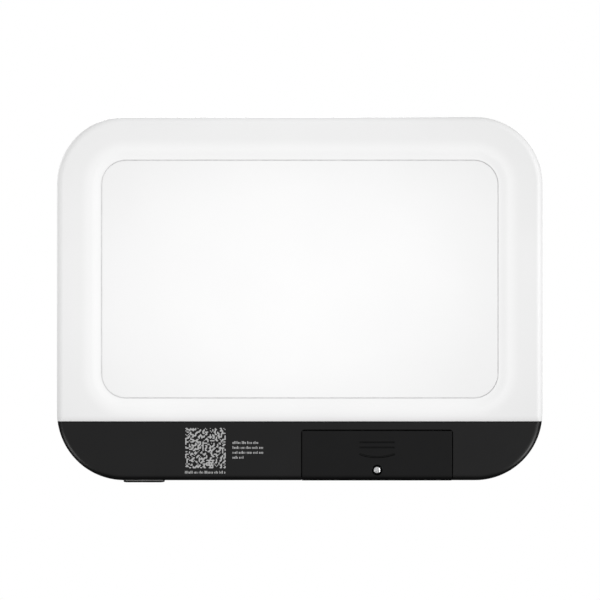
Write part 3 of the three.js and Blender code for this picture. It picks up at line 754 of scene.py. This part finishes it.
def power_button():
    w, h = BUTTON_HALF
    front = BUTTON_LOW.y
    soft = 0.6 * MM
    rings = [(w - soft, h - soft, front)]
    for i in range(1, 5):
        angle = math.radians(90 * i / 4)
        drawn_in = soft * (1 - math.sin(angle))
        rings.append((w - drawn_in, h - drawn_in, front + soft * (1 - math.cos(angle))))
    flange_y = EDGE_Y + WALL + GAP
    stem_y = flange_y + MM
    rings.append((w, h, flange_y))
    rings.append((w + BUTTON_FLANGE, h + BUTTON_FLANGE, flange_y))
    rings.append((w + BUTTON_FLANGE, h + BUTTON_FLANGE, stem_y))
    bm = pill_rings(bmesh.new(), rings)
    x = (BUTTON_LOW.x + BUTTON_HIGH.x) / 2
    z = (BUTTON_LOW.z + BUTTON_HIGH.z) / 2
    radius, sunk, length = 1.5 * MM, -0.2 * MM, BUTTON_HIGH.y - stem_y
    stem = [(0, sunk), (radius, sunk), (radius, length), (0, length)]
    lathe(bm, stem, (x, stem_y, z), (0, 1, 0), 24)
    finish_piece(bm, "edge_push_button", "power_button", "black", ["power_button"])


def button_painted_highlight():
    """A pale ring in the button's hole, 0.4 mm proud of the chin's edge: a painted highlight that shows as a
    thin light line round the button.
    """
    inside, outside, proud = 0.04 * MM, GAP - 0.02 * MM, 0.4 * MM
    inner = (BUTTON_HALF[0] + inside, BUTTON_HALF[1] + inside)
    outer = (BUTTON_HALF[0] + outside, BUTTON_HALF[1] + outside)
    low, high = EDGE_Y - proud, EDGE_Y + WALL
    rings = [(*outer, low), (*outer, high), (*inner, high), (*inner, low), (*outer, low)]
    bm = pill_rings(bmesh.new(), rings, False, False)
    bmesh.ops.remove_doubles(bm, verts=bm.verts, dist=HAIR)
    finish_piece(bm, "button_painted_highlight", "casing", "pale_highlight", weighted=False)


# ---- Battery door ----
def door_section():
    """The door's section as (y, z): a plate that bends round the casing's edge into a short lip."""
    edge = EDGE_Y - DOOR_PROUD
    radius = BACK_FILLET
    soft = 0.25 * MM
    inside = EDGE_Y + WALL - 0.1 * MM
    chamfer_top, chamfer_foot = 3.2 * MM, EDGE_Y + WALL + 1.2 * MM
    points = [(DOOR_TOP_Y - soft, PRINT_LEVEL)]
    for degrees in range(0, 91, 9):
        angle = math.radians(degrees)
        y = edge + radius - radius * math.sin(angle)
        points.append((y, PRINT_LEVEL + radius - radius * math.cos(angle)))
    points += [(edge, DOOR_LIP_Z - soft), (edge + soft, DOOR_LIP_Z), (inside, DOOR_LIP_Z)]
    points += [(inside, chamfer_top), (chamfer_foot, DOOR_PLATE)]
    points += [(DOOR_TOP_Y, DOOR_PLATE), (DOOR_TOP_Y, PRINT_LEVEL + soft)]
    return points


def door_shell():
    bm = bmesh.new()
    section = door_section()
    soft = 0.22 * MM
    stations = [(DOOR_LOW.x, soft), (DOOR_LOW.x + soft * 0.3, soft * 0.3), (DOOR_LOW.x + soft, 0)]
    stations += [(DOOR_HIGH.x - soft, 0), (DOOR_HIGH.x - soft * 0.3, soft * 0.3), (DOOR_HIGH.x, soft)]
    rings = []
    for x, shrink in stations:
        ring = []
        for y, z in section:
            outside = z < DOOR_PLATE * 0.5
            ring.append(bm.verts.new((x, y, z + shrink if outside else z)))
        rings.append(ring)
    join_rings(bm, rings, True, True)
    return finish_piece(bm, "battery_door_shell", "door", "door", ["battery_door"])


def groove_tool(path, width, depth):
    """A cutter with sloping sides along a line of (x, y) points; the width is the groove's at the face."""
    bottom = width * 0.22
    right = [(width, -MM), (width / 2, PRINT_LEVEL), (bottom, PRINT_LEVEL + depth)]
    section = [(-width, -MM)] + right + [(-bottom, PRINT_LEVEL + depth), (-width / 2, PRINT_LEVEL)]
    bm = bmesh.new()
    rings = []
    for i, (x, y) in enumerate(path):
        before, after = path[max(i - 1, 0)], path[min(i + 1, len(path) - 1)]
        along = Vector((after[0] - before[0], after[1] - before[1])).normalized()
        side = Vector((-along.y, along.x))
        rings.append([bm.verts.new((x + side.x * offset, y + side.y * offset, z)) for offset, z in section])
    join_rings(bm, rings, True, True)
    return tool(bm)


def finger_mark():
    """Two straight grooves and an arrowhead arc that points the way the door slides."""
    first_y, pitch = EDGE_Y + 25.8 * MM, 3.4 * MM
    line_width, line_depth = 1.0 * MM, 0.6 * MM
    bow_y, bow_rise = first_y - 7.8 * MM, 2.1 * MM
    bow_width, bow_depth = 1.2 * MM, 0.65 * MM
    tools = []
    for y in (first_y, first_y - pitch):
        line = [(DOOR_X - MARK_HALF, y), (DOOR_X + MARK_HALF, y)]
        tools.append(groove_tool(line, line_width, line_depth))
    bow = []
    for i in range(17):
        t = i / 8 - 1
        bow.append((DOOR_X + MARK_HALF * t, bow_y - bow_rise * (1 - t * t)))
    tools.append(groove_tool(bow, bow_width, bow_depth))
    return tools


def screw_recess():
    """A cutter for the wide recess that the screw's head lies in and the hole for its shank."""
    soft, through = 0.25 * MM, 8 * MM
    profile = [(0, -MM), (RECESS_RADIUS + soft, -MM), (RECESS_RADIUS + soft, PRINT_LEVEL),
               (RECESS_RADIUS, PRINT_LEVEL + soft), (RECESS_RADIUS, RECESS_DEPTH),
               (SHANK_RADIUS + GAP, RECESS_DEPTH), (SHANK_RADIUS + GAP, through), (0, through)]
    return tool(lathe(bmesh.new(), profile, (SCREW_X, SCREW_Y, 0), (0, 0, 1)))


def screw_well():
    """A thin near-black skin on the wall and the floor of the screw's recess: painted shade, darker and
    duller than the door's plastic.
    """
    clear, skin, mouth_z = 0.01 * MM, 0.05 * MM, 0.4 * MM
    outer, inner = RECESS_RADIUS - clear, SHANK_RADIUS + GAP
    floor_z = RECESS_DEPTH - clear
    profile = [(inner, floor_z), (outer, floor_z), (outer, mouth_z), (outer - skin, mouth_z),
               (outer - skin, floor_z - skin), (inner, floor_z - skin), (inner, floor_z)]
    bm = lathe(bmesh.new(), profile, (SCREW_X, SCREW_Y, 0), (0, 0, 1))
    bmesh.ops.remove_doubles(bm, verts=bm.verts, dist=HAIR)
    finish_piece(bm, "screw_well_painted_shade", "door", "well", weighted=False)


def door_hook(name, side):
    """An L-shaped hook that runs along a rail."""
    edge = DOOR_X + side * ((DOOR_HIGH.x - DOOR_LOW.x) / 2 - LEDGE_WIDTH - GAP)
    web = sorted((edge, edge - side * HOOK_WEB))
    hook = sorted((edge - side * HOOK_WEB, edge + side * HOOK_REACH))
    y0, y1 = EDGE_Y + 4 * MM, EDGE_Y + 20 * MM
    foot, lower, upper = HOOK_Z
    bm = prism(slab_points(*web, y0, y1), foot, upper)
    prism(slab_points(*hook, y0, y1), lower, upper, bm)
    finish_piece(bm, name, "door", "inner", weighted=False)


def door_tab(name, side):
    """A tab on the door's seam side that tucks behind the chin's wall."""
    x = DOOR_X + side * TAB_OFFSET
    points = slab_points(x - TAB_HALF, x + TAB_HALF, DOOR_TOP_Y - 2 * MM, DOOR_TOP_Y + TAB_REACH)
    # painted shade: the tab gets the sheenless near-black of the gap it sits in
    finish_piece(prism(points, *TAB_Z), name, "door", "well", weighted=False)


def battery_door():
    door = door_shell()
    boss_radius, boss_low, boss_high = 4.2 * MM, MM, 4.3 * MM
    boss = [(0, boss_low), (boss_radius, boss_low), (boss_radius, boss_high), (0, boss_high)]
    combine(door, "UNION", [tool(lathe(bmesh.new(), boss, (SCREW_X, SCREW_Y, 0), (0, 0, 1)))])
    carve(door, screw_recess(), *finger_mark())
    for side, name in ((-1, "left"), (1, "right")):
        door_hook(f"door_hook_{name}", side)
        door_tab(f"door_tab_{name}", side)
    screw_well()


def door_screw():
    """A pan-head screw with a cross recess and rolled thread; its head faces down."""
    head_z0, head_z1, tip = SCREW_LOW.z, SCREW_LOW.z + 1.75 * MM, SCREW_HIGH.z
    radius = (SCREW_HIGH.x - SCREW_LOW.x) / 2 - 0.15 * MM
    crown, fullness, bevel = 0.75 * MM, 0.8, 0.1 * MM
    core, flank, pitch = 1.05 * MM, 0.2 * MM, 0.45 * MM
    profile = [(0, head_z0)]
    for i in range(1, 9):
        angle = math.radians(90 * i / 8)
        profile.append((radius * math.sin(angle) ** fullness, head_z0 + crown * (1 - math.cos(angle))))
    profile += [(radius, head_z1 - bevel), (radius - bevel, head_z1), (core, head_z1)]
    z = head_z1 + flank
    while z < tip - 4 * flank:
        profile += [(core, z), (SHANK_RADIUS, z + flank), (core, z + 2 * flank)]
        z += pitch
    profile += [(0.9 * MM, tip - 2 * flank), (0.5 * MM, tip), (0, tip)]
    bm = lathe(bmesh.new(), profile, (SCREW_X, SCREW_Y, 0), (0, 0, 1))
    screw = finish_piece(bm, "pan_head_screw", "door_screw", "steel", ["door_screw"])
    half, width, depth = 1.55 * MM, 0.34 * MM, 1.0 * MM
    mouth = slab_points(-half, half, -width, width)
    foot = slab_points(-0.5 * half, 0.5 * half, -0.7 * width, 0.7 * width)
    arms = []
    for turn in (35, 125):
        bm = bmesh.new()
        loft(bm, [(mouth, head_z0 - MM), (mouth, head_z0 + bevel), (foot, head_z0 + depth)], True, True)
        rotation = Matrix.Rotation(math.radians(turn), 3, "Z")
        bmesh.ops.rotate(bm, verts=bm.verts, cent=(0, 0, 0), matrix=rotation)
        bmesh.ops.translate(bm, verts=bm.verts, vec=(SCREW_X, SCREW_Y, 0))
        arms.append(tool(bm))
    carve(screw, *arms)


# ---- Print on the chin ----
def chip_plate(bm, x0, x1, y0, y1, corner):
    """A thin printed patch with cut corners."""
    points = [(x0 + corner, y0), (x1 - corner, y0), (x1, y0 + corner), (x1, y1 - corner),
              (x1 - corner, y1), (x0 + corner, y1), (x0, y1 - corner), (x0, y0 + corner)]
    prism(points, *PRINT, bm)


def blob_field(dots, x, y):
    """How much ink the dots near a place give, in steps of the block's grid, and the way it grows."""
    reach = 1.2
    total, slope_x, slope_y = 0.0, 0.0, 0.0
    for column in range(math.floor(x - reach), math.ceil(x + reach) + 1):
        for row in range(math.floor(y - reach), math.ceil(y + reach) + 1):
            if (column, row) not in dots:
                continue
            dx, dy = x - column, y - row
            fall = 1 - (dx * dx + dy * dy) / reach**2
            if fall > 0:
                total += fall**2
                slope_x -= 4 * fall * dx / reach**2
                slope_y -= 4 * fall * dy / reach**2
    return total, slope_x, slope_y


def code_block():
    """A square of scattered dots run together by their ink: a plain pattern that encodes nothing."""
    rng = random.Random(7)
    cells, fine = 33, 3  # dots across the block, and squares of the traced shape to a dot
    density, edge = 0.47, 0.8  # the chance of a dot, and the amount of ink at a shape's edge
    gentlest, furthest = 0.3, 0.12  # limits that keep a corner's move to the edge short
    dots = set()
    for column, row in itertools.product(range(cells), repeat=2):
        beside = {(column - 1, row), (column, row - 1), (column - 1, row - 1)}
        if rng.random() < density and not beside <= dots:
            dots.add((column, row))
    centre, size = (62.6 * MM, EDGE_Y + 21.95 * MM), 26.9 * MM
    step = size / cells
    across = (cells + 1) * fine
    inked = set()
    for i in range(across):
        for j in range(across):
            if blob_field(dots, (i + 0.5) / fine - 1, (j + 0.5) / fine - 1)[0] > edge:
                inked.add((i, j))
    bm = bmesh.new()
    corners = {}

    def corner(i, j, level):
        if (i, j, level) not in corners:
            x, y = i / fine - 1, j / fine - 1
            touching = sum((i - a, j - b) in inked for a in (0, 1) for b in (0, 1))
            if touching < 4:
                for _ in range(2):
                    total, slope_x, slope_y = blob_field(dots, x, y)
                    steep = max(slope_x**2 + slope_y**2, gentlest)
                    move = max(-furthest, min(furthest, (edge - total) / steep))
                    x, y = x + move * slope_x, y + move * slope_y
            place = ((x - (cells - 1) / 2) * step + centre[0], (y - (cells - 1) / 2) * step + centre[1])
            corners[(i, j, level)] = bm.verts.new((*place, PRINT[level]))
        return corners[(i, j, level)]

    for i, j in sorted(inked):
        square = [(i, j), (i + 1, j), (i + 1, j + 1), (i, j + 1)]
        for level in (0, 1):
            bm.faces.new([corner(a, b, level) for a, b in square])
        beyond = [(i, j - 1), (i + 1, j), (i, j + 1), (i - 1, j)]
        for (a, b), (c, d), neighbour in zip(square, square[1:] + square[:1], beyond):
            if neighbour not in inked:
                bm.faces.new((corner(a, b, 0), corner(c, d, 0), corner(c, d, 1), corner(a, b, 1)))
    finish_piece(bm, "printed_pattern", "casing", "ink", weighted=False)


def printed_bars():
    """Rows of small blocks of ink where a maker would print a few words; they spell nothing."""
    rng = random.Random(11)
    bm = bmesh.new()
    lengths, first_top, pitch = (17.6, 21.2, 21.6, 8.4), 26.7, 3.27  # in mm
    letter_gap, word_gap, cut = 0.4 * MM, 1.0 * MM, 0.12 * MM
    rows = []
    for i, length in enumerate(lengths):
        rows.append((44.6 * MM, EDGE_Y + (first_top - pitch * i) * MM, length * MM))
    rows.append((76.2 * MM, EDGE_Y + 7.0 * MM, 27.8 * MM))
    for start, top, length in rows:
        x, base = start, top - 2 * MM
        letters_left = rng.randint(3, 6)
        while x > start - length + MM:
            width = rng.uniform(0.3, 0.72) * MM
            tall = rng.choice((1.25, 1.25, 1.8)) * MM
            chip_plate(bm, x - width, x, base, base + tall, cut)
            letters_left -= 1
            x -= width + (letter_gap if letters_left else word_gap)
            letters_left = letters_left or rng.randint(3, 6)
    finish_piece(bm, "printed_bars", "casing", "ink", weighted=False)


# ---- CAD nodes that stay ----
NODE_LOOKS = {
    "battery_holder": "inner",
    "contact_negative": "spring", "contact_bridge": "spring", "contact_positive": "spring",
    "holder_screw_1": "steel", "holder_screw_2": "steel", "board_screw_1": "steel", "board_screw_2": "steel",
    "light_guide_plate": "acrylic", "reflector_sheet": "film", "led_board": "film", "main_board": "board",
    "tact_switch_body": "chip", "tact_switch_plunger": "nylon", "driver_chip": "chip", "inductor": "coil",
    "capacitor": "can", "battery_lead_red": "red", "battery_lead_black": "dark", "led_lead": "pale",
}
NODE_LOOKS.update({f"led_{i:02d}": "phosphor" for i in range(1, 13)})

# each cell's node and look, and whether its plus end is toward +X
CELLS = (
    ("battery_cell_1", "cell", True),
    ("battery_cell_2", "cell_2", True),
    ("battery_cell_3", "cell_turned", False),
)


def cell_sleeve(name, plus_x, minus_x):
    """A cell's printed sleeve: bare metal at both ends, a copper band near the plus end."""
    look = Look(name, (0.1, 0.12, 0.15), 0.3, Metallic=0.7)
    along = look.nodes.new("ShaderNodeMapRange")
    along.inputs["From Min"].default_value = minus_x
    along.inputs["From Max"].default_value = plus_x
    look.links.new(look.axes()["X"], along.inputs["Value"])
    steel, dark, copper = (0.72, 0.73, 0.74), (0.03, 0.035, 0.045), (0.62, 0.3, 0.12)
    bands = look.ramp(along.outputs["Result"], (0.0, steel), (0.028, dark), (0.7, copper), (0.965, steel))
    bands.node.color_ramp.interpolation = "CONSTANT"
    scuffs = look.ramp(look.noise(220, 5), (0.35, 0.82), (0.6, 1.0))
    look.colour(look.multiply(bands, scuffs))
    look.rough(look.noise(300, 4), 0.22, 0.36)
    look.bump(look.noise(500, 2), 0.01 * MM)
    return look.material


def dress_cad_nodes():
    for node, look, plus_at_high_x in CELLS:
        low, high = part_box(node)
        ends = (high.x, low.x) if plus_at_high_x else (low.x, high.x)
        LOOKS[look] = cell_sleeve(f"{look}_sleeve", *ends)
        NODE_LOOKS[node] = look
    for node, look in NODE_LOOKS.items():
        thing = frame["nodes"][node]
        thing.data.materials.clear()
        thing.data.materials.append(LOOKS[look])
        weld = thing.modifiers.new("weld", "WELD")
        weld.merge_threshold = 0.01 * MM
        bevel = thing.modifiers.new("soft_edges", "BEVEL")
        bevel.width = 0.12 * MM
        bevel.segments = 2
        bevel.limit_method = "ANGLE"
        bevel.angle_limit = math.radians(40)


# ---- Studio ----
CENTRE = Vector((0, (EDGE_Y + TOP_Y) / 2, HEIGHT / 2))
CAMERA_PLACE = (-0.2 * MM, 0.01 * MM, -0.9411)


def camera():
    """Straight on to the back, from below."""
    data = bpy.data.cameras.new("photo_camera")
    data.lens = 85
    data.sensor_width = 36
    data.clip_start = 0.01
    body = bpy.data.objects.new("photo_camera", data)
    body.location = CAMERA_PLACE
    body.rotation_euler = (0, math.pi, 0)
    SCENE.collection.objects.link(body)
    SCENE.camera = body


def softbox(name, place, size, energy):
    """A round soft light that faces the middle of the table."""
    data = bpy.data.lights.new(name, "AREA")
    data.shape = "DISK"
    data.size = size
    data.energy = energy
    body = bpy.data.objects.new(name, data)
    body.location = place
    body.rotation_euler = (Vector(place) - CENTRE).to_track_quat("Z", "Y").to_euler()
    SCENE.collection.objects.link(body)
    return body


def sun(name, place, spread_angle, strength):
    """A light too far off to fall off across the table, from the direction of place."""
    data = bpy.data.lights.new(name, "SUN")
    data.angle = math.radians(spread_angle)
    data.energy = strength
    body = bpy.data.objects.new(name, data)
    body.location = place
    body.rotation_euler = Vector(place).to_track_quat("Z", "Y").to_euler()
    SCENE.collection.objects.link(body)


def lights():
    sun("under_key", (-1.75, 0.3, -1.3), spread_angle=42, strength=1.15)
    softbox("under_fill", (1.3, 0.25, -0.45), size=0.6, energy=1.4)
    softbox("upper_key", (0.2, 1.0, 1.5), size=0.9, energy=10)
    softbox("upper_fill", (1.4, 0.5, 1.0), size=1.2, energy=5)
    for name, side, energy in (("rim_right", -1, 8), ("rim_left", 1, 5)):
        rim = softbox(name, (side * 1.2, -0.8, -0.5), size=0.5, energy=energy)
        rim.visible_diffuse = False


AMBIENT = 0.768  # how brightly the surroundings light the object
MIRRORED = (0.7, 0.0, 0.04)  # how brightly they show in its gloss: from below, from the sides, from above


def world():
    """White to the camera, dimmer where it lights the object, and dark at the sides where gloss shows it."""
    SCENE.world = bpy.data.worlds.new("studio")
    SCENE.world.use_nodes = True
    nodes = SCENE.world.node_tree.nodes
    links = SCENE.world.node_tree.links
    background = nodes["Background"]

    def ramp(value, low, high, to_low, to_high):
        node = nodes.new("ShaderNodeMapRange")
        for socket, number in (("From Min", low), ("From Max", high)):
            node.inputs[socket].default_value = number
        for socket, number in (("To Min", to_low), ("To Max", to_high)):
            if isinstance(number, bpy.types.NodeSocket):
                links.new(number, node.inputs[socket])
            else:
                node.inputs[socket].default_value = number
        links.new(value, node.inputs["Value"])
        return node.outputs["Result"]

    direction = nodes.new("ShaderNodeSeparateXYZ")
    links.new(nodes.new("ShaderNodeTexCoord").outputs["Generated"], direction.inputs["Vector"])
    below, sides, above = MIRRORED
    upper = ramp(direction.outputs["Z"], -0.1, 0.3, sides, above)
    mirrored = ramp(direction.outputs["Z"], -0.85, -0.35, below, upper)
    path = nodes.new("ShaderNodeLightPath")
    lighting = ramp(path.outputs["Is Glossy Ray"], 0.0, 1.0, AMBIENT, mirrored)
    seen = ramp(path.outputs["Is Camera Ray"], 0.0, 1.0, lighting, 1.0)
    links.new(seen, background.inputs["Strength"])
    background.inputs["Color"].default_value = (1, 1, 1, 1)


def floor():
    """A pale floor just under the back; it fades out far off, and it is clear from below."""
    reach, floor_z = 6, -0.5 * MM
    fade_from, gone_at = 0.35, 1.6
    corners = [(x, y, floor_z) for x, y in slab_points(-reach, reach, -reach, reach)]
    mesh = bpy.data.meshes.new("floor")
    mesh.from_pydata(corners, [], [(0, 1, 2, 3)])
    body = bpy.data.objects.new("floor", mesh)
    SCENE.collection.objects.link(body)
    look = Look("floor_paint", (0.86, 0.86, 0.86), 0.8)
    look.colour(look.ramp(look.noise(3, 2), (0.3, 0.84), (0.7, 0.87)))
    nodes, links = look.nodes, look.links
    clear = nodes.new("ShaderNodeBsdfTransparent")
    side = nodes.new("ShaderNodeNewGeometry")
    distance = nodes.new("ShaderNodeVectorMath")
    distance.operation = "LENGTH"
    links.new(look.place, distance.inputs[0])
    clearness = nodes.new("ShaderNodeMath")
    clearness.operation = "MAXIMUM"
    links.new(side.outputs["Backfacing"], clearness.inputs[0])
    links.new(spread(look, distance.outputs["Value"], fade_from, gone_at), clearness.inputs[1])
    blend = nodes.new("ShaderNodeMixShader")
    links.new(clearness.outputs["Value"], blend.inputs[0])
    links.new(look.shader.outputs["BSDF"], blend.inputs[1])
    links.new(clear.outputs["BSDF"], blend.inputs[2])
    links.new(blend.outputs["Shader"], nodes["Material Output"].inputs["Surface"])
    mesh.materials.append(look.material)
    body.visible_diffuse = False
    body.visible_glossy = False
    body.visible_transmission = False
    body.visible_shadow = False


# ---- Build ----
SCENE.view_settings.view_transform = "Standard"
camera()
world()
lights()
floor()
rear_housing()
back_panel()
panel_bead()
front_frame()
diffuser()
chin_rear_cover()
chin_front_cover()
power_button()
button_painted_highlight()
battery_door()
door_screw()
code_block()
printed_bars()
dress_cad_nodes()
